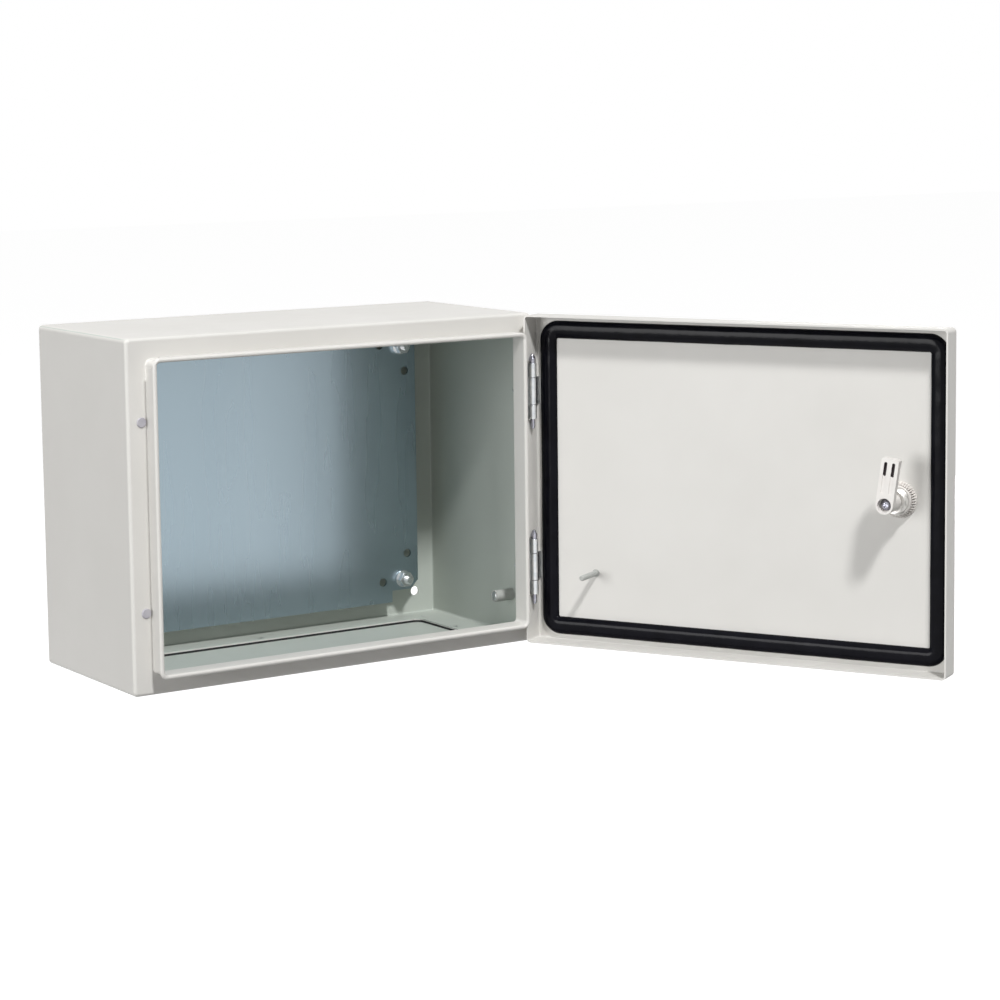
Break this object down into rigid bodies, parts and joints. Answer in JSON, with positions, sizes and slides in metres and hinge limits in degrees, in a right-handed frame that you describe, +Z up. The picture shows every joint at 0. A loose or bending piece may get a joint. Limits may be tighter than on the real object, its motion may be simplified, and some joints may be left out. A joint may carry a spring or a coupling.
{
  "type": "wall enclosure",
  "caption": "Folded steel wall enclosure with a gutter round its mouth, a hinged door with a foam seal, a quarter-turn lock and a mounting plate on studs.",
  "frame": {"origin": "middle of the four wall fixing holes, on the outer face of the rear panel, which lies against the wall", "axes": "+Y into the wall, +X to the right as seen from the front (hinge side), +Z up"},
  "size_m": [0.5982, 0.532, 0.3057],
  "materials": {
    "grey_paint": "light grey powder coat with a fine orange-peel texture, satin",
    "seal_foam": "foamed-in-place polyurethane bead, black, satin skin",
    "black_rubber": "black rubber, satin",
    "zinc_steel": "bright zinc plated",
    "bright_steel": "bright zinc plated, polished by turning",
    "galvanised_plate": "galvanised, dull blue-grey",
    "grey_plastic": "matt grey plastic",
    "light_plastic": "off-white glass-filled plastic, satin",
    "zinc_diecast": "zinc die-cast, satin"
  },
  "bodies": {
    "cabinet": {"body_shell": "grey_paint", "rear_panel": "grey_paint", "gland_seal": "black_rubber", "gland_plate": "grey_paint", "gland_screws": "zinc_steel", "plate_studs": "zinc_steel", "mounting_plate": "galvanised_plate", "plate_washers": "zinc_steel", "plate_nuts": "zinc_steel", "body_earth_stud": "zinc_steel", "flange_plugs": "grey_plastic", "hinge_bracket_upper": "zinc_steel", "hinge_bracket_lower": "zinc_steel", "hinge_screws": "zinc_steel", "hinge_nuts": "zinc_steel", "hinge_pin_upper": "bright_steel", "hinge_pin_lower": "bright_steel"},
    "door": {"door_panel": "grey_paint", "door_seal": "seal_foam", "hinge_leaf_upper": "zinc_steel", "hinge_leaf_lower": "zinc_steel", "door_earth_stud": "zinc_steel", "lock_housing": "zinc_diecast", "lock_seal": "black_rubber", "lock_nut": "light_plastic"},
    "lock": {"lock_spindle": "zinc_diecast", "lock_cam": "light_plastic", "lock_screw": "bright_steel"}
  },
  "joints": [
    {"name": "door_hinge", "type": "hinge", "parent": "cabinet", "child": "door", "pos_m": [0.1945, -0.184, 0], "axis": [0, 0, 1], "range_deg": [-119, 11]},
    {"name": "lock_turn", "type": "hinge", "parent": "door", "child": "lock", "pos_m": [0.37503, -0.47667, 0], "axis": [0.8746, 0.4848, 0], "range_deg": [0, 82]}
  ]
}
